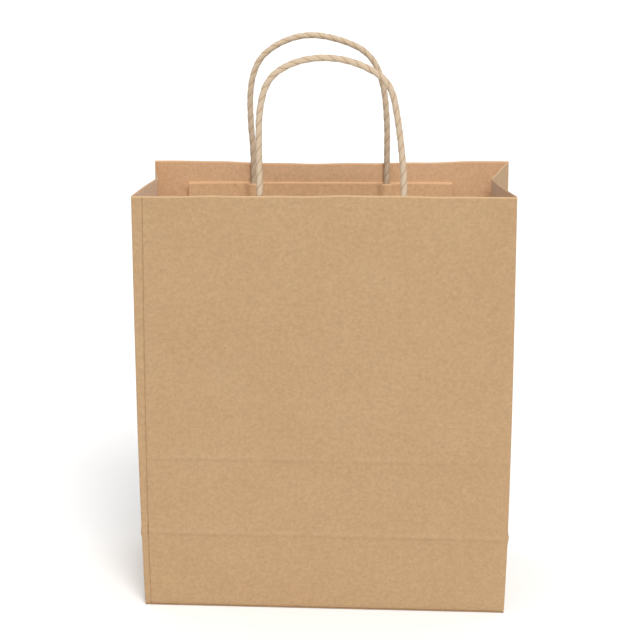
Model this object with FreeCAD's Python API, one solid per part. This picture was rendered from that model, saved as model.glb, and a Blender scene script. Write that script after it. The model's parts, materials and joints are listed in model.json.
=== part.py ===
import FreeCAD, Part

import math
import os

# A brown kraft paper gift bag with gusseted sides, a square bottom and two twisted-paper rope
# handles. Each handle's ends are glued between two paper strips inside the mouth.
# Millimetres. The origin is at the middle of the bottom, on the surface that the bag stands on.
# +Z is up, -Y is the front and +X is to the right as seen from the front.

Vector = FreeCAD.Vector

# The bag
WIDTH = 260.0
DEPTH = 115.0
HEIGHT = 306.0
PAPER = 0.25
FOLD_HEIGHT = DEPTH / 2  # the crease all round, where the folded bottom lies when the bag is flat

# Side gussets, whose middle creases are pushed in a little at the mouth
TUCK_LEFT = 10.0
TUCK_RIGHT = 15.0

# The glued seam: the left side's edge turns the corner and lies under the front
SEAM_INSET = 7.0
SEAM_TAB = 25.0

# Bottom
OUTER_FLAP_SHORT = 22.0
INNER_FLAP_SHORT = 45.0
SIDE_FLAP_LENGTH = 40.0

# Handles
ROPE_DIAMETER = 4.4
LEG_SPACING = 97.5
FRONT_HANDLE_X = 5.5
BACK_HANDLE_X = -8.1
ROPE_BURIED = 28.0
HINGE_RISE = 3.0  # the height above the mouth about which a handle tilts

# The glued paper strips that hold each handle
STRIP_WIDTH = 194.0
STRIP_HEIGHT = 42.0
STRIP_DROP = 16.0

# Clearances
CREASE_GAP = 0.3  # between two sheets that fold about one crease
ROPE_GAP = 0.1  # round the rope, and between a loop and its glued end

# A loop's route from its left leg to its right one: distance to the right of the handle's middle,
# and height above the line that it tilts about. The first and last points come from the legs.
FRONT_LOOP = [(-49.2, 28.5), (-48.8, 56), (-43, 76.6), (-26.5, 87.4), (-5, 91),
              (17.5, 86.8), (38.6, 74.2), (44, 47), (46.8, 24)]
BACK_LOOP = [(-51, 27.5), (-51, 53), (-44.8, 73), (-29, 84.8), (-9.5, 90.6),
             (13, 87.2), (35.2, 77.4), (45.4, 57), (48.6, 28.5)]
ARC_SHARE = 0.45  # of the shorter run, taken by the arc at each point of a route

HALF_WIDTH = WIDTH / 2
HALF_DEPTH = DEPTH / 2
ROPE_RADIUS = ROPE_DIAMETER / 2
BOTTOM_LAYERS = 3
FLOOR_TOP = BOTTOM_LAYERS * PAPER
LOWER_TOP = FOLD_HEIGHT - CREASE_GAP / 2
UPPER_BOTTOM = FOLD_HEIGHT + CREASE_GAP / 2
STRIP_TOP = HEIGHT - STRIP_DROP
HINGE_Z = HEIGHT + HINGE_RISE
ROPE_Y = HALF_DEPTH - 2 * PAPER - ROPE_RADIUS - ROPE_GAP  # from the middle, for both handles


def save(node, shape):
    """Writes one piece, after checking that it is sound."""
    if not shape.isValid() or shape.Volume <= 0:
        raise ValueError(node + " is not a sound solid")
    shape.exportStep("parts/" + node + ".step")
    print(node, "solids", len(shape.Solids), "volume", round(shape.Volume, 1))


def plate(x0, x1, y0, y1, z0, z1):
    """A flat sheet from one corner to the other, given in any order along Y."""
    low, high = min(y0, y1), max(y0, y1)
    return Part.makeBox(x1 - x0, high - low, z1 - z0, Vector(x0, low, z0))


def prism(points, along):
    """A flat outline pushed along a direction."""
    outline = Part.makePolygon([Vector(*p) for p in points + points[:1]])
    return Part.Face(outline).extrude(Vector(*along))


def bottom_pieces():
    """The two wide flaps that overlap, and the side flaps that fold in first, above them."""
    inside_x = HALF_WIDTH - PAPER
    inside_y = HALF_DEPTH - PAPER
    save("bottom_outer_flap",
         plate(-inside_x, inside_x, OUTER_FLAP_SHORT - inside_y, inside_y, 0, PAPER))
    save("bottom_inner_flap",
         plate(-inside_x, inside_x, -inside_y, inside_y - INNER_FLAP_SHORT, PAPER, 2 * PAPER))
    for name, side in (("left", -1), ("right", 1)):
        inner_x = inside_x - SIDE_FLAP_LENGTH
        inner_y = inside_y - SIDE_FLAP_LENGTH
        outline = [(side * inside_x, -inside_y, 2 * PAPER), (side * inner_x, -inner_y, 2 * PAPER),
                   (side * inner_x, inner_y, 2 * PAPER), (side * inside_x, inside_y, 2 * PAPER)]
        save(name + "_bottom_flap", prism(outline, (0, 0, PAPER)))


def lower_band():
    """The four walls below the crease, which stay upright on the bottom."""
    inside_y = HALF_DEPTH - PAPER
    save("front_lower_panel",
         plate(SEAM_INSET - HALF_WIDTH, HALF_WIDTH, -HALF_DEPTH, -inside_y, 0, LOWER_TOP))
    save("back_lower_panel", plate(-HALF_WIDTH, HALF_WIDTH, inside_y, HALF_DEPTH, 0, LOWER_TOP))
    save("left_lower_side",
         plate(-HALF_WIDTH, PAPER - HALF_WIDTH, 2 * PAPER - HALF_DEPTH, inside_y, 0, LOWER_TOP))
    save("right_lower_side",
         plate(HALF_WIDTH - PAPER, HALF_WIDTH, -inside_y, inside_y, 0, LOWER_TOP))
    save("lower_seam_tab",
         plate(-HALF_WIDTH, SEAM_TAB - HALF_WIDTH, -inside_y, PAPER - inside_y,
               FLOOR_TOP, LOWER_TOP))


def upper_panels():
    """The front and back above the crease, and the glued tab of the side seam."""
    inside_y = HALF_DEPTH - PAPER
    save("front_panel",
         plate(SEAM_INSET - HALF_WIDTH, HALF_WIDTH, -HALF_DEPTH, -inside_y, UPPER_BOTTOM, HEIGHT))
    save("back_panel",
         plate(-HALF_WIDTH, HALF_WIDTH, inside_y, HALF_DEPTH, UPPER_BOTTOM, HEIGHT))
    save("seam_tab",
         plate(-HALF_WIDTH, SEAM_TAB - HALF_WIDTH, -inside_y, PAPER - inside_y,
               UPPER_BOTTOM, HEIGHT))


def gusset_half(side, face, tuck, layers):
    """Half of a side above the crease: two facets, because its middle crease leans in.

    side is -1 for left and 1 for right, face is -1 for the half at the front and 1 for the back,
    and layers is how many sheets its corner has to clear.
    """
    outer_x = side * HALF_WIDTH
    corner_y = face * (HALF_DEPTH - layers * PAPER - CREASE_GAP)
    crease_y = face * CREASE_GAP / 2
    corner_low = (outer_x, corner_y, UPPER_BOTTOM)
    corner_high = (outer_x, corner_y, HEIGHT)
    crease_low = (outer_x, crease_y, UPPER_BOTTOM)
    crease_high = (outer_x - side * tuck, crease_y, HEIGHT)
    inward = (-side * PAPER, 0, 0)
    lower = prism([corner_low, crease_low, crease_high], inward)
    upper = prism([corner_low, crease_high, corner_high], inward)
    return lower.fuse(upper).removeSplitter()


def gussets():
    """The four gusset halves above the crease."""
    for name, side, tuck in (("left", -1, TUCK_LEFT), ("right", 1, TUCK_RIGHT)):
        front_layers = 2 if name == "left" else 1
        save(name + "_gusset_front", gusset_half(side, -1, tuck, front_layers))
        save(name + "_gusset_back", gusset_half(side, 1, tuck, 1))


def turned(before, point, after):
    """The start, middle and end of the arc that rounds one point of a route, and its radius."""
    back = before - point
    ahead = after - point
    reach = ARC_SHARE * min(back.Length, ahead.Length)
    half_turn = (math.pi - back.getAngle(ahead)) / 2
    radius = reach / math.tan(half_turn)
    back.normalize()
    ahead.normalize()
    towards_centre = (back + ahead).normalize()
    corner_to_arc = radius / math.cos(half_turn) - radius
    return (point + back * reach, point + towards_centre * corner_to_arc,
            point + ahead * reach, radius)


def rope(name, points):
    """A round rope along straight runs joined by tangent arcs."""
    edges = []
    radii = []
    last = points[0]
    for before, point, after in zip(points, points[1:], points[2:]):
        start, middle, end, radius = turned(before, point, after)
        edges.append(Part.LineSegment(last, start).toShape())
        edges.append(Part.Arc(start, middle, end).toShape())
        radii.append(radius)
        last = end
    edges.append(Part.LineSegment(last, points[-1]).toShape())
    path = Part.Wire(edges)
    section = Part.Wire(Part.makeCircle(ROPE_RADIUS, points[0], points[1] - points[0]))
    solid = path.makePipeShell([section], True, False)
    expected = math.pi * ROPE_RADIUS ** 2 * path.Length
    print(name, "length", round(path.Length, 1), "smallest radius", round(min(radii), 1),
          "radii", [round(r) for r in radii])
    print(name, "volume over section times length", round(solid.Volume / expected, 4))
    return solid


def handle(name, face, middle_x, loop_points):
    """One handle: the loop that tilts, its glued ends, and the two strips that hold them.

    face is -1 for the front handle and 1 for the back one.
    """
    rope_y = face * ROPE_Y
    legs = [middle_x - LEG_SPACING / 2, middle_x + LEG_SPACING / 2]

    loop_start = HINGE_Z + ROPE_RADIUS + ROPE_GAP
    route = [Vector(legs[0], rope_y, loop_start)]
    route += [Vector(middle_x + x, rope_y, HINGE_Z + z) for x, z in loop_points]
    route += [Vector(legs[1], rope_y, loop_start)]
    save(name + "_handle_loop", rope(name + "_handle_loop", route))

    ends = []
    for leg in legs:
        foot = Vector(leg, rope_y, STRIP_TOP - ROPE_BURIED)
        length = HINGE_Z - foot.z
        post = Part.makeCylinder(ROPE_RADIUS, length, foot)
        ends.append(post.fuse(Part.makeSphere(ROPE_RADIUS, Vector(leg, rope_y, HINGE_Z))))
    save(name + "_rope_ends", Part.makeCompound(ends))

    panel_y = face * (HALF_DEPTH - PAPER)
    backing_y = face * (HALF_DEPTH - 2 * PAPER)
    cover_y = face * (HALF_DEPTH - 3 * PAPER)
    x0 = middle_x - STRIP_WIDTH / 2
    x1 = middle_x + STRIP_WIDTH / 2
    z0 = STRIP_TOP - STRIP_HEIGHT
    save(name + "_backing_strip", plate(x0, x1, panel_y, backing_y, z0, STRIP_TOP))

    inner = ROPE_RADIUS + ROPE_GAP
    outer = inner + PAPER
    cover = plate(x0, x1, backing_y, cover_y, z0, STRIP_TOP)
    for leg in legs:
        arch = Part.makeCylinder(outer, STRIP_HEIGHT, Vector(leg, rope_y, z0))
        cover = cover.fuse(arch.fuse(plate(leg - outer, leg + outer, rope_y, backing_y,
                                           z0, STRIP_TOP)))
    for leg in legs:
        bore = Part.makeCylinder(inner, STRIP_HEIGHT, Vector(leg, rope_y, z0))
        bore = bore.fuse(plate(leg - inner, leg + inner, rope_y, backing_y, z0, STRIP_TOP))
        cover = cover.cut(bore)
    beyond = plate(x0, x1, backing_y, backing_y + face * STRIP_HEIGHT, z0, STRIP_TOP)
    save(name + "_cover_strip", cover.cut(beyond).removeSplitter())


os.makedirs("parts", exist_ok=True)
bottom_pieces()
lower_band()
upper_panels()
gussets()
handle("front", -1, FRONT_HANDLE_X, FRONT_LOOP)
handle("back", 1, BACK_HANDLE_X, BACK_LOOP)
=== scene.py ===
import json
import math

import bpy
import numpy as np
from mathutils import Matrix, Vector, noise


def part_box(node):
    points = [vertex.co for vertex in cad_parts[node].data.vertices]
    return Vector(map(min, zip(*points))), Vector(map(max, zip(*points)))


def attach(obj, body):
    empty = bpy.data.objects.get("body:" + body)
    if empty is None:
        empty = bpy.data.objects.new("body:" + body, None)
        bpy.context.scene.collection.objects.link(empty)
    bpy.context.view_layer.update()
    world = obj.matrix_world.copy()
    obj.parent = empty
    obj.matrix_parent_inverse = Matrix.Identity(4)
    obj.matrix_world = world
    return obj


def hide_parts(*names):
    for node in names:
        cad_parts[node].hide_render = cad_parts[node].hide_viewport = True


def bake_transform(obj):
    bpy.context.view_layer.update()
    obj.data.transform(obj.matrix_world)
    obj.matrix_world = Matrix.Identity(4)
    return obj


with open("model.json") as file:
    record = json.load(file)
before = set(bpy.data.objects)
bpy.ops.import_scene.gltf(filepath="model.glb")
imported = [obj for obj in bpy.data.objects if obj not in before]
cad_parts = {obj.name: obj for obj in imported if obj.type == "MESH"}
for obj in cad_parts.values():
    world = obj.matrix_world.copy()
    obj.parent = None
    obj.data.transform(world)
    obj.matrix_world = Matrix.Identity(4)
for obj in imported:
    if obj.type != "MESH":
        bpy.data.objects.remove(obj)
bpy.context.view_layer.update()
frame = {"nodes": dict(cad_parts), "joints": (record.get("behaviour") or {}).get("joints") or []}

# ---------------------------------------------------------------- sizes, from the frame
PANEL_LOW, PANEL_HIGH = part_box("back_panel")
HALF_WIDTH = PANEL_HIGH.x
HALF_DEPTH = PANEL_HIGH.y
MOUTH = PANEL_HIGH.z
PAPER = PANEL_HIGH.y - PANEL_LOW.y
FOLD = (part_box("back_lower_panel")[1].z + PANEL_LOW.z) / 2  # the lower crease, all round
SEAM_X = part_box("front_panel")[0].x
TAB_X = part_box("seam_tab")[1].x
TUCKS = {"left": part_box("left_gusset_back")[1].x - PAPER + HALF_WIDTH,
         "right": HALF_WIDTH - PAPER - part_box("right_gusset_back")[0].x}
HINGES = {j["name"]: Vector(j["pos_m"]) for j in frame["joints"]}
STRIP_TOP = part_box("front_cover_strip")[1].z
FACES = {"front": -1, "back": 1}    # which way each wide wall faces along Y

# ---------------------------------------------------------------- how this bag stands
TWIST = 0.043              # the mouth is turned about the base by this much, in radians
CORNER_RADIUS = 0.0007
CORNER_ANGLES = np.radians([22, 45, 68, 90])
FOLD_ZONE = 0.002          # half the height over which a wall bends about the lower crease
EDGE_BOW = 0.0014          # the corners belly outwards between base and mouth
CREASE_RELIEF = 0.0004
UPPER_CREASE = 2 * FOLD
UPPER_RELIEF = 0.0003
ABOVE_CREASE = 0.016       # the slopes of a crease die away over these heights
BELOW_CREASE = 0.009
CREASE_BUMP = 0.0006       # each corner stands out a little where the lower crease meets it
CREASE_BUMP_HEIGHT = 0.0035
SEAM_SLANT = 0.0032        # the seam drifts towards the middle by this much on its way up
SEAM_TRUE_AT = 0.72        # and lies where the CAD has it at this share of the height
FOOT_TUCK = 0.0010         # the walls turn in at the floor
FOOT_TUCK_HEIGHT = 0.0022
CORNER_EASE = 0.004        # creases and the turned-in foot fade out this near a corner
BEHIND = 0.0008            # the gussets start this far behind the band below them
BEHIND_HEIGHT = 0.004
CREASE_SLIT = 0.00002      # each gusset half ends this far short of the middle crease
LIP_HEIGHT = 0.05          # the wall is loose over this height under the mouth
LIP_BEND = 0.0005          # and its free edge wanders in and out by this
LIP_BEND_SIZE = 0.031
LIP_WAVE = 0.0002          # the cut edge of the mouth isn't quite level
LIP_WAVE_SIZES = (0.017, 0.0071)
LIP_SAG = {"front": -0.0005, "back": 0.0016}  # and each wide wall's middle is lower by this

# Waves in the paper: how far apart, how high, and a seed that sets each sheet's own pattern
WALL_WAVES = (0.085, 0.0016)
WALL_RIPPLES = (0.022, 0.00022)
GUSSET_WAVES = (0.05, 0.0022)
LOWER_SIDE_WAVES = (0.04, 0.0012)
WALL_SEEDS = {"front": 3.0, "back": 11.0}
RIPPLE_SEED = 4.0          # added to the wall's own
GUSSET_SEED = 23.0
LOWER_SIDE_SEED = 31.0
HELD_SHARE = 0.85          # the glued strips flatten a wall's waves by this share
HELD_REACH = 0.016         # and the flattening dies away from here inside their edges to outside
WALL_FADE = 0.04           # a wide wall's waves grow over this height above the floor
SIDE_FADE = 0.03           # and a side's over this height above the floor or the lower crease
BAND_TOP_FADE = 0.02       # the band's sides are flat again at the crease, from this far below

# How closely the sheets are divided
ROW_STEP = 0.006
LEAST_ROW = 0.0006
NEAR_CREASE = (-0.008, -0.004, -FOLD_ZONE, -0.001, 0, 0.001, FOLD_ZONE, 0.004, 0.008)
WALL_COLUMNS = 56
TAB_COLUMNS = 14
GUSSET_COLUMNS = 26
LOWER_SIDE_COLUMNS = 36
SHARP_EDGE = math.radians(35)


def smooth(t):
    """0 to 1 with soft ends."""
    t = np.clip(t, 0, 1)
    return t * t * (3 - 2 * t)


def stand(points):
    """Moves points of the flat model to where this bag's paper is: twisted and bellied."""
    p = np.array(points, float)
    rise = np.clip((p[..., 2] - FOLD) / (MOUTH - FOLD), 0, None)
    up = np.clip(p[..., 2] / MOUTH, 0, 1)
    belly = np.sin(math.pi * up ** 0.75) * EDGE_BOW
    p[..., 1] += TWIST * p[..., 0] * rise
    bump = CREASE_BUMP * np.exp(-((p[..., 2] - FOLD) / CREASE_BUMP_HEIGHT) ** 2)
    across = p[..., 0] / HALF_WIDTH
    p[..., 0] += belly * across ** 3 + bump * across ** 21
    return p


def seam_line(z):
    """Where the front's free edge is at a height."""
    return SEAM_X + SEAM_SLANT * (z / MOUTH - SEAM_TRUE_AT)


def ridge(z, at, height):
    """An outward crease: a slow slope above it and a quicker one below."""
    above = np.exp(-np.clip(z - at, 0, None) / ABOVE_CREASE)
    below = np.exp(-np.clip(at - z, 0, None) / BELOW_CREASE)
    return height * above * below


def both_creases(z):
    """How far the two creases that run all round stand out at a height."""
    return ridge(z, FOLD, CREASE_RELIEF) + ridge(z, UPPER_CREASE, UPPER_RELIEF)


def foot(z):
    """How far a wall turns in at the floor."""
    return FOOT_TUCK * (1 - smooth(z / FOOT_TUCK_HEIGHT))


def mid_span(place, half):
    """1 over most of a wall's width, falling to 0 at its corners."""
    return np.clip(1 - (np.abs(place) / half) ** 6, 0, 1)


def waves(points, seed, shape):
    """Slow uneven waves of a size and a height, as handled paper has."""
    size, height = shape
    flat = np.array(points, float).reshape(-1, 3)
    out = [noise.noise(Vector((a / size + seed, b / size, c / size))) for a, b, c in flat]
    return np.array(out).reshape(np.shape(points)[:-1]) * height


# ---------------------------------------------------------------- mesh building
def normals(grid):
    """The way that a grid of rows up a sheet faces, with its columns to the right."""
    du = np.gradient(grid, axis=0)
    dv = np.gradient(grid, axis=1)
    n = np.cross(dv, du)
    return n / np.maximum(np.linalg.norm(n, axis=-1, keepdims=True), 1e-12)


def finish_mesh(name, points, faces, rest, materials, which_material=None):
    """An object with smooth faces, sharp edges, and its unfolded place kept for its material."""
    mesh = bpy.data.meshes.new(name)
    mesh.from_pydata([tuple(p) for p in points], [], faces)
    for material in materials:
        mesh.materials.append(material)
    if which_material:
        mesh.polygons.foreach_set("material_index", which_material)
    mesh.validate()
    for polygon in mesh.polygons:
        polygon.use_smooth = True
    mesh.set_sharp_from_angle(angle=SHARP_EDGE)
    kept = mesh.attributes.new("rest", "FLOAT_VECTOR", "POINT")
    kept.data.foreach_set("vector", np.array(rest, np.float32).ravel())
    obj = bpy.data.objects.new(name, mesh)
    bpy.context.scene.collection.objects.link(obj)
    return obj


def paper_sheet(name, flat, rest, outside, inside):
    """A closed thin sheet whose outer face is the flat grid, made to stand as the bag does."""
    grid = stand(flat)
    rows, cols = grid.shape[:2]
    inner = grid - normals(grid) * PAPER
    points = np.concatenate([grid.reshape(-1, 3), inner.reshape(-1, 3)])
    n = rows * cols
    faces = []
    sides = []
    for r in range(rows - 1):
        for c in range(cols - 1):
            a = r * cols + c
            quad = (a, a + 1, a + cols + 1, a + cols)
            faces.append(quad)
            faces.append(tuple(n + i for i in reversed(quad)))
            sides += [0, 1]
    rim = [r * cols for r in range(rows)]
    rim += [(rows - 1) * cols + c for c in range(1, cols)]
    rim += [r * cols + cols - 1 for r in range(rows - 2, -1, -1)]
    rim += list(range(cols - 2, 0, -1))
    for a, b in zip(rim, rim[1:] + rim[:1]):
        faces.append((a, b, b + n, a + n))
        sides.append(0)
    rest = np.concatenate([np.reshape(rest, (-1, 3))] * 2)
    return finish_mesh(name, points, faces, rest, [outside, inside], sides)


def levels(low, high, spots):
    """Heights from low to high, a step apart, and closer together near the given spots."""
    out = list(np.linspace(low, high, max(2, int(round((high - low) / ROW_STEP)) + 1)))
    for at in spots:
        out += [at + d for d in NEAR_CREASE if low < at + d < high]
    out = sorted(out)
    kept = [out[0]]
    for z in out[1:-1]:
        if z - kept[-1] > LEAST_ROW:
            kept.append(z)
    if high - kept[-1] < LEAST_ROW:
        kept.pop()
    return kept + [high]


# ---------------------------------------------------------------- materials
WHITE = (1.0, 1.0, 1.0)
KRAFT = (0.425, 0.281, 0.153)
# The inside and the strips are the same kraft as the outside, painted paler: painted light for
# the light that reaches into the bag
KRAFT_INSIDE_LIT = (0.660, 0.425, 0.245)
KRAFT_STRIP_LIT = (0.680, 0.445, 0.254)
ROPE_COLOUR = (0.545, 0.430, 0.308)

# Noise scales, in waves to the metre. A dark and a light share of the paper's colour mottle it.
CLOUD_SCALE = 22.0
MOTTLE_SCALE = 430.0
FINE_SCALE = 1500.0
FIBRE_SCALE = 1300.0
SPECK_SCALE = 260.0
MOTTLE_DARK, MOTTLE_LIGHT = 0.925, 1.075
FIBRE_STRETCHES = ((0.22, 0.22, 1.0), (1.0, 1.0, 0.22))    # lying and upright

# Tones that darken the paper, and how much of each is laid on
CLOUD_TONE, CLOUD_SHARE = (0.965, 0.935, 0.900), 0.7
FINE_TONE, FINE_SHARE = (0.90, 0.88, 0.85), 0.55
FIBRE_TONE, FIBRE_SHARE = (0.80, 0.75, 0.68), 0.22
SPECK_TONE, SPECK_SHARE = (0.40, 0.30, 0.20), 0.32
# Painted shade along the foot of the walls, where they stand on the floor
FLOOR_SHADE_TONE, FLOOR_SHADE_SHARE = (0.50, 0.43, 0.36), 0.8
FLOOR_SHADE_LINE = 0.0016         # height of the painted shade where the walls meet the floor
SEAM_TONE = (0.58, 0.50, 0.42)
SEAM_LINE = (-0.0002, 0.0009)    # from the free edge, and how wide
SEAM_GAPE = (0.002, 0.005)       # above the lower crease, and how high
SEAM_SHARE, GAPE_SHARE = 0.55, 0.7
CREASE_GAP = (0.35, 0.35, 0.35)  # what is left of a crease's lines where they're faintest
# Painted shade below a crease, where its lower slope faces down, and a painted highlight above
# it, where the slope faces up
CREASE_SHADE = (0.86, 0.83, 0.79)
CREASE_HIGHLIGHT = (0.86, 0.72, 0.54)
CREASE_LINES = ((FOLD - 0.0012, 0.50), (UPPER_CREASE - 0.001, 0.38))    # height and strength
DARK_LINE = 0.0019         # half the height of a crease's painted shade line
LIGHT_LINE = 0.0022        # and of the painted highlight, whose middle is this far above the shade's
LIGHT_LINE_UP = 0.0028
LIGHT_SHARE = 0.07
EDGE_HIGHLIGHT = 0.0014          # height of the painted highlight along a cut edge, where the edge catches the light
EDGE_HIGHLIGHT_RISE = 1400.0     # how sharply it starts, to the metre
EDGE_HIGHLIGHT_SHARE = 0.75
EDGE_HIGHLIGHT_GAIN, EDGE_HIGHLIGHT_LIFT = 1.32, 0.03    # how much paler the painted highlight is

# Surface: a shallow bump, and roughness that follows the mottling
PAPER_BUMP = 0.12
ROPE_BUMP = 0.35
BUMP_DEPTH = 0.0003
PAPER_SPECULAR = 0.22
PAPER_SHEEN = 0.04
INSIDE_SHEEN = 0.3
SHEEN_ROUGHNESS = 0.6
PAPER_ROUGHNESS = 0.74
MOTTLE_ROUGHNESS = 0.16    # added where the mottling is light
ROPE_ROUGHNESS = 0.82
ROPE_SHEEN = 0.05

# The rope: its wrinkles' dark and light, its blotches, and the painted shade in its grooves
ROPE_DARK, ROPE_LIGHT = 0.80, 1.08
BLOTCH_TONE, BLOTCH_SHARE = (0.88, 0.85, 0.80), 0.5
GROOVE_SHADE = (0.66, 0.55, 0.44)


def nodes_of(name):
    """A new material, its nodes and its shader."""
    material = bpy.data.materials.new(name)
    material.use_nodes = True
    tree = material.node_tree
    return material, tree, tree.nodes["Principled BSDF"]


def add(tree, kind, **values):
    """A new node with these settings."""
    node = tree.nodes.new(kind)
    for key, value in values.items():
        setattr(node, key, value)
    return node


def noise_at(tree, source, scale, stretch=(1, 1, 1), detail=4.0, rough=0.6):
    """A noise texture over stretched coordinates."""
    mapping = add(tree, "ShaderNodeMapping")
    mapping.inputs["Scale"].default_value = stretch
    tree.links.new(source, mapping.inputs["Vector"])
    texture = add(tree, "ShaderNodeTexNoise")
    texture.inputs["Scale"].default_value = scale
    texture.inputs["Detail"].default_value = detail
    texture.inputs["Roughness"].default_value = rough
    tree.links.new(mapping.outputs["Vector"], texture.inputs["Vector"])
    return texture.outputs["Fac"]


def ramp(tree, value, stops):
    """A colour for a value, from stops of a position and a colour."""
    node = add(tree, "ShaderNodeValToRGB")
    elements = node.color_ramp.elements
    while len(elements) < len(stops):
        elements.new(0.5)
    for element, (at, colour) in zip(elements, stops):
        element.position = at
        element.color = (*colour, 1)
    tree.links.new(value, node.inputs["Fac"])
    return node.outputs["Color"]


def mix(tree, mode, amount, a, b):
    """Two colours mixed, each one a socket or a plain colour."""
    node = add(tree, "ShaderNodeMix", data_type="RGBA", blend_type=mode)
    for socket, value in ((node.inputs[0], amount), (node.inputs[6], a), (node.inputs[7], b)):
        if hasattr(value, "node"):
            tree.links.new(value, socket)
        elif isinstance(value, tuple):
            socket.default_value = (*value, 1)
        else:
            socket.default_value = value
    return node.outputs[2]


def maths(tree, operation, a, b=0.0, clamp=False):
    """One sum, each value a socket or a number."""
    node = add(tree, "ShaderNodeMath", operation=operation, use_clamp=clamp)
    for socket, value in ((node.inputs[0], a), (node.inputs[1], b)):
        if hasattr(value, "node"):
            tree.links.new(value, socket)
        else:
            socket.default_value = value
    return node.outputs[0]


def kept_place(tree, plain_cad=False):
    """The coordinates that a material follows: the unfolded sheet's, or a CAD piece's own."""
    if plain_cad:
        return add(tree, "ShaderNodeTexCoord").outputs["Object"]
    return add(tree, "ShaderNodeAttribute", attribute_name="rest").outputs["Vector"]


def bumped(tree, shader, height, strength):
    """Joins a height to the shader's normal."""
    bump = add(tree, "ShaderNodeBump")
    bump.inputs["Strength"].default_value = strength
    bump.inputs["Distance"].default_value = BUMP_DEPTH
    tree.links.new(height, bump.inputs["Height"])
    tree.links.new(bump.outputs["Normal"], shader.inputs["Normal"])


def near(tree, value, at, reach):
    """1 where a value is at a number, falling to 0 at a reach from it."""
    away = maths(tree, "ABSOLUTE", maths(tree, "SUBTRACT", value, at))
    return maths(tree, "SUBTRACT", 1.0, maths(tree, "DIVIDE", away, reach), clamp=True)


def crease_shade_and_highlight(tree, base, height, unevenness):
    """Painted shade just below each crease that runs all round, and a faint painted highlight
    above it; the lower crease's are stronger.
    """
    for at, strength in CREASE_LINES:
        line = near(tree, height, at, DARK_LINE)
        amount = maths(tree, "MULTIPLY", line, unevenness)
        amount = maths(tree, "MULTIPLY", amount, strength)
        base = mix(tree, "MULTIPLY", amount, base, CREASE_SHADE)
        line = near(tree, height, at + LIGHT_LINE_UP, LIGHT_LINE)
        amount = maths(tree, "MULTIPLY", line, unevenness)
        amount = maths(tree, "MULTIPLY", amount, strength * LIGHT_SHARE)
        base = mix(tree, "MIX", amount, base, CREASE_HIGHLIGHT)
    return base


def seam_tones(tree, base, place_x, height):
    """The shadow along the front's free edge, which gapes a little at the lower crease."""
    slope = maths(tree, "MULTIPLY", height, SEAM_SLANT / MOUTH)
    from_edge = maths(tree, "SUBTRACT", place_x, maths(tree, "ADD", slope, seam_line(0.0)))
    line = near(tree, from_edge, *SEAM_LINE)
    gape = near(tree, height, FOLD + SEAM_GAPE[0], SEAM_GAPE[1])
    amount = maths(tree, "MULTIPLY", gape, GAPE_SHARE)
    amount = maths(tree, "ADD", amount, SEAM_SHARE, clamp=True)
    return mix(tree, "MULTIPLY", maths(tree, "MULTIPLY", line, amount), base, SEAM_TONE)


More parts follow.
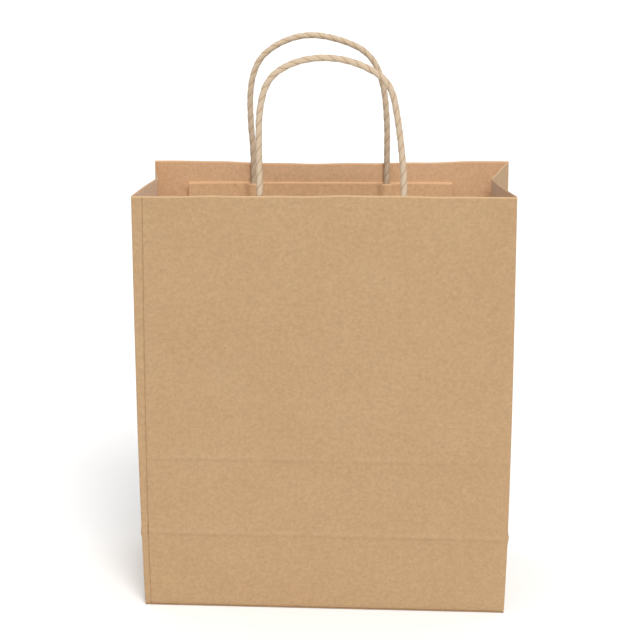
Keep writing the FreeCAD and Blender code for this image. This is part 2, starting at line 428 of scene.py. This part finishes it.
def kraft(name, colour, edge_at=None, creases=False, seam=False, plain_cad=False,
          sheen=PAPER_SHEEN):
    """Uncoated brown kraft: soft round mottling, cloudy patches, fine fibres, a few specks.

    edge_at is the height of a cut edge, along which a painted highlight runs.
    """
    material, tree, shader = nodes_of(name)
    place = kept_place(tree, plain_cad)
    split = add(tree, "ShaderNodeSeparateXYZ")
    tree.links.new(place, split.inputs[0])
    height = split.outputs["Z"]
    dark = tuple(c * MOTTLE_DARK for c in colour)
    light = tuple(min(1.0, c * MOTTLE_LIGHT) for c in colour)
    clouds = noise_at(tree, place, CLOUD_SCALE, detail=4.0)
    mottle = noise_at(tree, place, MOTTLE_SCALE, detail=3.0, rough=0.62)
    fine = noise_at(tree, place, FINE_SCALE, detail=3.0)
    fibres, upright = [noise_at(tree, place, FIBRE_SCALE, stretch=stretch, detail=3.0)
                       for stretch in FIBRE_STRETCHES]
    specks = noise_at(tree, place, SPECK_SCALE, detail=1.0)
    base = ramp(tree, mottle, [(0.34, dark), (0.66, light)])
    for grain, share, tone, low, high in ((clouds, CLOUD_SHARE, CLOUD_TONE, 0.3, 0.7),
                                          (fine, FINE_SHARE, FINE_TONE, 0.36, 0.60),
                                          (fibres, FIBRE_SHARE, FIBRE_TONE, 0.34, 0.50),
                                          (upright, FIBRE_SHARE, FIBRE_TONE, 0.34, 0.50),
                                          (specks, SPECK_SHARE, SPECK_TONE, 0.195, 0.225)):
        base = mix(tree, "MULTIPLY", share, base,
                   ramp(tree, grain, [(low, tone), (high, WHITE)]))
    if creases:
        # Painted shade and highlight along the creases
        patchy = ramp(tree, clouds, [(0.35, CREASE_GAP), (0.6, WHITE)])
        base = crease_shade_and_highlight(tree, base, height, patchy)
        # Painted shade where the walls meet the floor
        floor_shade = maths(tree, "MULTIPLY", near(tree, height, 0.0, FLOOR_SHADE_LINE), FLOOR_SHADE_SHARE)
        base = mix(tree, "MULTIPLY", floor_shade, base, FLOOR_SHADE_TONE)
    if seam:
        base = seam_tones(tree, base, split.outputs["X"], height)
    # Painted highlight just under a cut edge, where the edge catches the light
    if edge_at is not None:
        edge_highlight = maths(tree, "SUBTRACT", height, edge_at - EDGE_HIGHLIGHT)
        edge_highlight = maths(tree, "MULTIPLY", edge_highlight, EDGE_HIGHLIGHT_RISE, clamp=True)
        base = mix(tree, "MIX", maths(tree, "MULTIPLY", edge_highlight, EDGE_HIGHLIGHT_SHARE), base,
                   tuple(min(1.0, c * EDGE_HIGHLIGHT_GAIN + EDGE_HIGHLIGHT_LIFT) for c in colour))
    tree.links.new(base, shader.inputs["Base Color"])
    relief = maths(tree, "ADD", maths(tree, "MULTIPLY", fibres, 0.5),
                   maths(tree, "MULTIPLY", fine, 0.5))
    bumped(tree, shader, maths(tree, "ADD", relief, mottle), PAPER_BUMP)
    roughness = maths(tree, "MULTIPLY", mottle, MOTTLE_ROUGHNESS)
    roughness = maths(tree, "ADD", roughness, PAPER_ROUGHNESS)
    tree.links.new(roughness, shader.inputs["Roughness"])
    shader.inputs["Specular IOR Level"].default_value = PAPER_SPECULAR
    shader.inputs["Sheen Weight"].default_value = sheen
    shader.inputs["Sheen Roughness"].default_value = SHEEN_ROUGHNESS
    return material


def rope_paper(name, colour):
    """Twisted paper: painted shade between the strands, with fine wrinkles along each strand.

    It follows an angle round the rope, a length along it, and how far a point is from a groove.
    """
    material, tree, shader = nodes_of(name)
    place = kept_place(tree)
    split = add(tree, "ShaderNodeSeparateXYZ")
    tree.links.new(place, split.inputs[0])
    between = split.outputs["Z"]
    wrinkles = noise_at(tree, place, 9.0, stretch=(1.0, 120.0, 0.0), detail=4.0)
    blotches = noise_at(tree, place, 3.0, stretch=(1.0, 90.0, 0.0), detail=2.0)
    dark = tuple(c * ROPE_DARK for c in colour)
    light = tuple(min(1.0, c * ROPE_LIGHT) for c in colour)
    base = ramp(tree, wrinkles, [(0.3, dark), (0.65, light)])
    base = mix(tree, "MULTIPLY", BLOTCH_SHARE, base,
               ramp(tree, blotches, [(0.35, BLOTCH_TONE), (0.6, WHITE)]))
    # Painted shade in the grooves between the strands
    base = mix(tree, "MULTIPLY", 1.0, base,
               ramp(tree, between, [(0.15, GROOVE_SHADE), (0.62, WHITE)]))
    tree.links.new(base, shader.inputs["Base Color"])
    bumped(tree, shader, wrinkles, ROPE_BUMP)
    shader.inputs["Roughness"].default_value = ROPE_ROUGHNESS
    shader.inputs["Specular IOR Level"].default_value = PAPER_SPECULAR
    shader.inputs["Sheen Weight"].default_value = ROPE_SHEEN
    return material


OUTSIDE = kraft("kraft_outside", KRAFT, edge_at=MOUTH, creases=True)
SEAM_PAPER = kraft("kraft_seam", KRAFT, edge_at=MOUTH, creases=True, seam=True)
# Painted light: the inner faces and the strips are painted paler than the outside, for the light
# inside the bag
INSIDE = kraft("kraft_inside_lit", KRAFT_INSIDE_LIT, edge_at=MOUTH, sheen=INSIDE_SHEEN)
STRIPS = kraft("kraft_strip_paper_lit", KRAFT_STRIP_LIT, edge_at=STRIP_TOP)
FLAPS = kraft("kraft_flaps", KRAFT, plain_cad=True)
ROPE = rope_paper("twisted_rope_paper", ROPE_COLOUR)

# ---------------------------------------------------------------- camera
LENS = 98.0
SENSOR_WIDTH = 36.0
CAMERA_AZIMUTH = math.radians(3.0)
CAMERA_ELEVATION = math.radians(17.3)
CAMERA_DISTANCE = 1.2
AIM = Vector((-0.0027, -0.0556, 0.2185))


def make_camera():
    """A long lens in front of the bag, a little to its right and above it."""
    data = bpy.data.cameras.new("camera")
    data.lens = LENS
    data.sensor_width = SENSOR_WIDTH
    camera = bpy.data.objects.new("camera", data)
    bpy.context.scene.collection.objects.link(camera)
    level = math.cos(CAMERA_ELEVATION)
    back = Vector((math.sin(CAMERA_AZIMUTH) * level, -math.cos(CAMERA_AZIMUTH) * level,
                   math.sin(CAMERA_ELEVATION)))
    camera.location = AIM + back * CAMERA_DISTANCE
    camera.rotation_euler = (-back).to_track_quat("-Z", "Y").to_euler()
    bpy.context.scene.camera = camera


make_camera()

# ---------------------------------------------------------------- rope handles
ROPE_RADIUS = (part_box("front_handle_loop")[1].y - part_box("front_handle_loop")[0].y) / 2
ROPE_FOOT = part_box("front_rope_ends")[0].z
LEG_SPACING = 0.0975
LOOP_START = 0.0023        # above the hinge line
ROPE_PITCH = 0.017         # along the rope, for one turn of a strand
ROPE_STRANDS = 2
ROPE_STEP = 0.0011
ROPE_SIDES = 24
ROUTE_STEPS = 24           # between two control points
STRAND_CORE = 0.86         # the rope's radius in a groove, as a share of the whole
STRAND_SWELL = 0.17        # and what a strand adds to it
STRAND_ROUNDNESS = 0.55
WRINKLE = 0.03             # uneven share of the radius
WRINKLE_ALONG = 110.0      # wrinkles to the metre
WRINKLE_ROUND = 1.5

# Each loop's points: to the right of the handle's middle, and above its hinge line.
LOOPS = {
    "front": [(-0.0492, 0.0285), (-0.0488, 0.056), (-0.043, 0.0766), (-0.0265, 0.0874),
              (-0.005, 0.091), (0.0175, 0.0868), (0.0386, 0.0742), (0.044, 0.047),
              (0.0468, 0.024)],
    "back": [(-0.051, 0.0275), (-0.051, 0.053), (-0.0448, 0.073), (-0.029, 0.0848),
             (-0.0095, 0.0906), (0.013, 0.0872), (0.0352, 0.0774), (0.0454, 0.057),
             (0.0486, 0.0285)],
}


def handle_middle(which):
    """The middle of a handle's two legs, along X."""
    low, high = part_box(which + "_rope_ends")
    return (low.x + high.x) / 2


def rope_route(which):
    """The control points of one handle, from its left foot to its right one."""
    middle = handle_middle(which)
    hinge = HINGES[which + "_handle_tilt"]
    left, right = middle - LEG_SPACING / 2, middle + LEG_SPACING / 2
    start = hinge.z + LOOP_START
    points = [(left, hinge.y, ROPE_FOOT), (left, hinge.y, start)]
    points += [(middle + x, hinge.y, hinge.z + z) for x, z in LOOPS[which]]
    points += [(right, hinge.y, start), (right, hinge.y, ROPE_FOOT)]
    return stand(points)


def line_through(points):
    """The smooth line of a NURBS spline with those control points."""
    curve = bpy.data.curves.new("route", "CURVE")
    curve.dimensions = "3D"
    curve.resolution_u = ROUTE_STEPS
    spline = curve.splines.new("NURBS")
    spline.points.add(len(points) - 1)
    for place, point in zip(spline.points, points):
        place.co = (*point, 1.0)
    spline.order_u = 3
    spline.use_endpoint_u = True
    holder = bpy.data.objects.new("route", curve)
    mesh = bpy.data.meshes.new_from_object(holder)
    line = np.array([v.co for v in mesh.vertices], float)
    bpy.data.meshes.remove(mesh)
    bpy.data.objects.remove(holder)
    bpy.data.curves.remove(curve)
    return line


def evenly(line, step):
    """A line's points spread evenly, and how far along it each one is."""
    gaps = np.linalg.norm(np.diff(line, axis=0), axis=1)
    along = np.concatenate([[0], np.cumsum(gaps)])
    at = np.linspace(0, along[-1], int(along[-1] / step) + 1)
    return np.stack([np.interp(at, along, line[:, k]) for k in range(3)], axis=1), at


def rope_handle(which):
    """A twisted rope of two strands along its route, as one closed mesh."""
    line, along = evenly(line_through(rope_route(which)), ROPE_STEP)
    ahead = np.gradient(line, axis=0)
    ahead /= np.linalg.norm(ahead, axis=1, keepdims=True)
    side = np.array([0.0, 1.0, 0.0]) - ahead * ahead[:, 1:2]
    side /= np.linalg.norm(side, axis=1, keepdims=True)
    other = np.cross(ahead, side)
    turn = np.arange(ROPE_SIDES) * 2 * math.pi / ROPE_SIDES
    points, rest = [], []
    for i, centre in enumerate(line):
        phase = 2 * math.pi * along[i] / ROPE_PITCH
        for angle in turn:
            swell = abs(math.sin(ROPE_STRANDS * (angle - phase) / 2)) ** STRAND_ROUNDNESS
            wobble = noise.noise(Vector((along[i] * WRINKLE_ALONG,
                                         math.cos(angle) * WRINKLE_ROUND,
                                         math.sin(angle) * WRINKLE_ROUND)))
            radius = ROPE_RADIUS * (STRAND_CORE + STRAND_SWELL * swell + WRINKLE * wobble)
            points.append(centre + (side[i] * math.cos(angle) + other[i] * math.sin(angle))
                          * radius)
            rest.append((angle - phase, along[i], swell))
    faces = []
    for i in range(len(line) - 1):
        for k in range(ROPE_SIDES):
            a = i * ROPE_SIDES + k
            b = i * ROPE_SIDES + (k + 1) % ROPE_SIDES
            faces.append((a, b, b + ROPE_SIDES, a + ROPE_SIDES))
    last = (len(line) - 1) * ROPE_SIDES
    faces.append(tuple(reversed(range(ROPE_SIDES))))
    faces.append(tuple(range(last, last + ROPE_SIDES)))
    rope = finish_mesh(which + "_rope_handle", points, faces, rest, [ROPE])
    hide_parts(which + "_handle_loop", which + "_rope_ends")
    hinge = HINGES[which + "_handle_tilt"]
    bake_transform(rope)
    exit_point = stand([(line[0][0], hinge.y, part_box(which + "_cover_strip")[1].z)])[0]


for which in ("front", "back"):
    rope_handle(which)

# ---------------------------------------------------------------- the paper walls
LEGS = {w: (handle_middle(w) - LEG_SPACING / 2, handle_middle(w) + LEG_SPACING / 2)
        for w in ("front", "back")}
ROPE_PRINT = 0.0006        # the wall stands out over a glued rope end by this
ROPE_PRINT_WIDTH = 0.0045
ROPE_PRINT_FADE = 0.004    # the print starts this far below the rope's foot
STRIP_PRINT = 0.0002       # and over the strips by this, from this far outside their edges
STRIP_PRINT_EDGE = 0.003


def over_strip(x, z, which, soft):
    """1 where the glued strips lie, falling to 0 round them."""
    low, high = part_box(which + "_backing_strip")
    inside = smooth((x - low.x + soft) / (2 * soft))
    inside = inside * smooth((high.x + soft - x) / (2 * soft))
    inside = inside * smooth((z - low.z + soft) / (2 * soft))
    return inside * smooth((high.z + soft - z) / (2 * soft))


def rope_print(x, z, which):
    """How far the wall is pushed out over the glued rope ends and the strips."""
    out = np.zeros(np.shape(x))
    within = smooth((z - ROPE_FOOT + ROPE_PRINT_FADE) / (2 * ROPE_PRINT_FADE))
    within = within * smooth((MOUTH + ROPE_PRINT_FADE - z) / (3 * ROPE_PRINT_FADE))
    for leg in LEGS[which]:
        out += ROPE_PRINT * np.exp(-((x - leg) / ROPE_PRINT_WIDTH) ** 2) * within
    return out + STRIP_PRINT * over_strip(x, z, which, STRIP_PRINT_EDGE)


def wall_relief(which, x, z):
    """How far the front or back stands out from flat, and how near its loose edge a point is.

    Uneven paper, creases and ropes push it out.
    """
    seed = WALL_SEEDS[which]
    place = np.stack([x, np.zeros(np.shape(x)), z], axis=-1)
    free = mid_span(x, HALF_WIDTH) * smooth(z / WALL_FADE)
    held = 1 - HELD_SHARE * over_strip(x, z, which, HELD_REACH)
    ease = smooth((HALF_WIDTH - np.abs(x)) / CORNER_EASE)
    out = waves(place, seed, WALL_WAVES) * free * held
    out += waves(place, seed + RIPPLE_SEED, WALL_RIPPLES) * free * held
    out += both_creases(z) * ease
    lip = smooth((z - MOUTH + LIP_HEIGHT) / LIP_HEIGHT) * free
    out += LIP_BEND * lip * held * np.sin(x / LIP_BEND_SIZE + seed)
    out -= foot(z) * ease
    return out + rope_print(x, z, which), lip


def wide_wall(which):
    """The front or back in one sheet from the floor to the mouth, with its corners turned."""
    face = FACES[which]
    heights = levels(0.0, MOUTH, (0.0, FOLD, UPPER_CREASE))
    left = SEAM_X if which == "front" else -HALF_WIDTH + CORNER_RADIUS
    flat = np.linspace(left, HALF_WIDTH - CORNER_RADIUS, WALL_COLUMNS)
    column = [(x, HALF_DEPTH) for x in flat]
    bend = [(math.sin(a), math.cos(a)) for a in CORNER_ANGLES]
    centre_y = HALF_DEPTH - CORNER_RADIUS
    column += [(HALF_WIDTH - CORNER_RADIUS + s * CORNER_RADIUS, centre_y + c * CORNER_RADIUS)
               for s, c in bend]
    if which == "back":
        column = [(-HALF_WIDTH + CORNER_RADIUS - s * CORNER_RADIUS,
                   centre_y + c * CORNER_RADIUS) for s, c in reversed(bend)] + column
    grid = np.array([[(x, face * y, z) for x, y in column] for z in heights])
    if which == "front":
        share = np.clip((HALF_WIDTH - grid[..., 0]) / (HALF_WIDTH - SEAM_X), 0, 1)
        grid[..., 0] += (seam_line(grid[..., 2]) - SEAM_X) * share ** 3
    rest = grid.copy()
    x = grid[..., 0].copy()
    out, lip = wall_relief(which, x, grid[..., 2])
    grid[..., 1] += face * out
    level = LIP_WAVE * sum(np.sin(x / size) for size in LIP_WAVE_SIZES)
    level -= LIP_SAG[which] * (1 - (x / HALF_WIDTH) ** 2)
    grid[..., 2] += level * lip ** 4
    if which == "back":
        grid, rest = grid[:, ::-1], rest[:, ::-1]
    sheet = paper_sheet(which + "_sheet", grid, rest, OUTSIDE, INSIDE)
    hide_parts(which + "_panel", which + "_lower_panel")
    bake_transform(sheet)


def seam_strip():
    """The left side's edge, which turns the front corner and lies glued under the front."""
    heights = levels(0.0, MOUTH, (0.0, FOLD, UPPER_CREASE))
    face_y = HALF_DEPTH - PAPER
    centre_y = face_y - CORNER_RADIUS
    column = [(-HALF_WIDTH + CORNER_RADIUS * (1 - math.sin(a)),
               centre_y + CORNER_RADIUS * math.cos(a)) for a in CORNER_ANGLES[::-1]]
    column += [(x, face_y) for x in np.linspace(-HALF_WIDTH + CORNER_RADIUS, TAB_X,
                                                TAB_COLUMNS)]
    grid = np.array([[(x, -y, z) for x, y in column] for z in heights])
    rest = grid.copy()
    grid[..., 1] -= wall_relief("front", rest[..., 0], rest[..., 2])[0]
    strip = paper_sheet("seam_strip", grid, rest, SEAM_PAPER, INSIDE)
    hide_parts("seam_tab", "lower_seam_tab")
    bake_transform(strip)


def corner_line(name, face):
    """Where a side's corner is, as the distance from the middle along Y."""
    layer = PAPER if (name == "left" and face < 0) else 0.0
    return HALF_DEPTH - layer - CORNER_RADIUS


def gusset_sheet(name, side, which):
    """Half of a side above the lower crease, from its corner to the middle crease."""
    face = FACES[which]
    corner = corner_line(name, face)
    heights = [z for z in levels(0.0, MOUTH, (FOLD, UPPER_CREASE)) if z >= FOLD - 1e-6]
    across = np.linspace(0, 1, GUSSET_COLUMNS)
    grid = []
    for z in heights:
        tuck = TUCKS[name] * ((z - FOLD) / (MOUTH - FOLD))
        grid.append([(side * (HALF_WIDTH - tuck * t),
                      face * (corner * (1 - t) + CREASE_SLIT * t), z) for t in across])
    grid = np.array(grid)
    rest = grid.copy()
    z = grid[..., 2]
    t = across[None, :]
    free = t * (1 - t) * 4 * smooth((z - FOLD) / SIDE_FADE)
    out = waves(grid, GUSSET_SEED + side * 4 + face, GUSSET_WAVES) * free
    ease = smooth(t * corner / CORNER_EASE)
    out += both_creases(z) * ease
    out -= BEHIND * ease * (1 - smooth((z - FOLD) / BEHIND_HEIGHT))
    grid[..., 0] += side * out
    if face * side > 0:
        grid, rest = grid[:, ::-1], rest[:, ::-1]
    sheet = paper_sheet(f"{name}_gusset_{which}_sheet", grid, rest, OUTSIDE, INSIDE)
    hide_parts(f"{name}_gusset_{which}")
    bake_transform(sheet)


def lower_side(name, side):
    """A side below the crease, which stays upright."""
    heights = levels(0.0, FOLD, (0.0, FOLD))
    column = np.linspace(-corner_line(name, -1), corner_line(name, 1), LOWER_SIDE_COLUMNS)
    grid = np.array([[(side * HALF_WIDTH, y, z) for y in column] for z in heights])
    rest = grid.copy()
    z, y = grid[..., 2], grid[..., 1]
    free = mid_span(y, HALF_DEPTH) * smooth(z / SIDE_FADE)
    free = free * smooth((FOLD - z) / BAND_TOP_FADE)
    ease = smooth((HALF_DEPTH - np.abs(y)) / CORNER_EASE)
    out = ridge(z, FOLD, CREASE_RELIEF) * ease
    out += waves(grid, LOWER_SIDE_SEED + side, LOWER_SIDE_WAVES) * free
    out -= foot(z) * ease
    grid[..., 0] += side * out
    if side < 0:
        grid, rest = grid[:, ::-1], rest[:, ::-1]
    sheet = paper_sheet(name + "_lower_side_sheet", grid, rest, OUTSIDE, INSIDE)
    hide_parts(name + "_lower_side")
    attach(sheet, "base")


for which in ("front", "back"):
    wide_wall(which)
seam_strip()
for name, side in (("left", -1), ("right", 1)):
    lower_side(name, side)
    for which in ("front", "back"):
        gusset_sheet(name, side, which)

# ---------------------------------------------------------------- the glued strips
STRIP_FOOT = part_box("front_backing_strip")[0].z
STRIP_COLUMNS = 150
STRIP_ROWS = 16
BACKING_OUT = 1.2          # sheets of paper from the wall to the backing's far face
COVER_OUT = 2.6            # and to the cover's
STRIP_LIFT = 0.0030        # the cover's ends stand off the backing by this much
LIFT_REACH = 0.097         # this far from the handle's middle
DRAPE = 0.0075             # how far beside a rope the cover comes down
DRAPE_FLAT = 0.001         # half the width of its flat top
ROPE_ROOM = 0.0012         # between the backing and the cover, beyond the rope's own thickness


def strip_grid(which, offset):
    """A strip's outer face, which looks into the bag, this far from the wall's inner face."""
    low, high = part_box(which + "_backing_strip")
    xs = np.linspace(low.x, high.x, STRIP_COLUMNS)
    zs = np.linspace(low.z, high.z, STRIP_ROWS)
    x, z = np.meshgrid(xs, zs)
    y = FACES[which] * (HALF_DEPTH - PAPER - offset(x, z) + wall_relief(which, x, z)[0])
    grid = np.stack([x, y, z], axis=-1)
    return grid[:, ::-1] if which == "front" else grid


def strip_sheet(name, which, offset, node):
    """One strip, which stands for its CAD node and rides on its wall."""
    grid = strip_grid(which, offset)
    sheet = paper_sheet(name, grid, grid, STRIPS, STRIPS)
    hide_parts(node)
    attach(sheet, which + "_wall")


def strips(which):
    """The backing strip against the wall, and the cover that drapes over the rope ends."""
    def flat(x, z):
        return PAPER * BACKING_OUT

    def over_ropes(x, z):
        from_middle = np.abs(x - handle_middle(which))
        depth = PAPER * COVER_OUT + STRIP_LIFT * (from_middle / LIFT_REACH) ** 8
        bump = 2 * ROPE_RADIUS + ROPE_ROOM
        bump = bump * smooth((z - STRIP_FOOT) / (ROPE_FOOT - ROPE_RADIUS - STRIP_FOOT))
        for leg in LEGS[which]:
            depth = depth + bump * smooth(1 - (np.abs(x - leg) - DRAPE_FLAT) / DRAPE)
        return depth

    strip_sheet(which + "_backing_paper", which, flat, which + "_backing_strip")
    strip_sheet(which + "_cover_paper", which, over_ropes, which + "_cover_strip")


for which in ("front", "back"):
    strips(which)

# ---------------------------------------------------------------- the bottom
for node in ("bottom_outer_flap", "bottom_inner_flap", "left_bottom_flap", "right_bottom_flap"):
    flap = frame["nodes"][node]
    flap.data.materials.clear()
    flap.data.materials.append(FLAPS)

# ---------------------------------------------------------------- stage and light
FLOOR_SIZE = 12.0
FLOOR_DROP = 0.0002        # below the bag's underside, so that the two don't flicker
FLOOR_COLOUR = (0.86, 0.86, 0.86, 1)
GLOW = 0.60                # added to the surround at the horizon, so that it meets a white floor
GLOW_HEIGHT = 0.20         # and gone at this sine of the elevation


def stage():
    """A plain pale floor."""
    mesh = bpy.data.meshes.new("floor")
    half = FLOOR_SIZE / 2
    mesh.from_pydata([(-half, -half, 0), (half, -half, 0), (half, half, 0), (-half, half, 0)],
                     [], [(0, 1, 2, 3)])
    floor = bpy.data.objects.new("floor", mesh)
    floor.location.z = -FLOOR_DROP
    bpy.context.scene.collection.objects.link(floor)
    material, tree, shader = nodes_of("floor")
    shader.inputs["Base Color"].default_value = FLOOR_COLOUR
    shader.inputs["Roughness"].default_value = 0.9
    shader.inputs["Specular IOR Level"].default_value = 0.0
    mesh.materials.append(material)


def sun(azimuth, elevation, spread, strength, colour):
    """A wide soft light from one side, in degrees to the right of the front and above it."""
    data = bpy.data.lights.new("sun", "SUN")
    data.energy = strength
    data.angle = math.radians(spread)
    data.color = colour
    lamp = bpy.data.objects.new("sun", data)
    level = math.cos(math.radians(elevation))
    towards = Vector((math.sin(math.radians(azimuth)) * level,
                      -math.cos(math.radians(azimuth)) * level,
                      math.sin(math.radians(elevation))))
    lamp.rotation_euler = towards.to_track_quat("Z", "Y").to_euler()
    bpy.context.scene.collection.objects.link(lamp)


def sky(horizon, zenith):
    """A plain white surround, brighter overhead and just above the horizon."""
    world = bpy.data.worlds.new("world")
    bpy.context.scene.world = world
    world.use_nodes = True
    tree = world.node_tree
    split = add(tree, "ShaderNodeSeparateXYZ")
    tree.links.new(add(tree, "ShaderNodeTexCoord").outputs["Generated"], split.inputs[0])
    height = maths(tree, "MAXIMUM", split.outputs["Z"], 0.0)
    strength = maths(tree, "ADD", maths(tree, "MULTIPLY", height, zenith - horizon), horizon)
    low = maths(tree, "SUBTRACT", 1.0, maths(tree, "DIVIDE", height, GLOW_HEIGHT), clamp=True)
    strength = maths(tree, "ADD", strength, maths(tree, "MULTIPLY", low, GLOW))
    background = tree.nodes["Background"]
    background.inputs["Color"].default_value = (1, 1, 1, 1)
    tree.links.new(strength, background.inputs["Strength"])


stage()
sun(azimuth=17.0, elevation=49.0, spread=30.0, strength=2.33, colour=(1.0, 0.99, 0.975))
sky(horizon=0.36, zenith=1.0)
bpy.context.scene.view_settings.view_transform = "Standard"
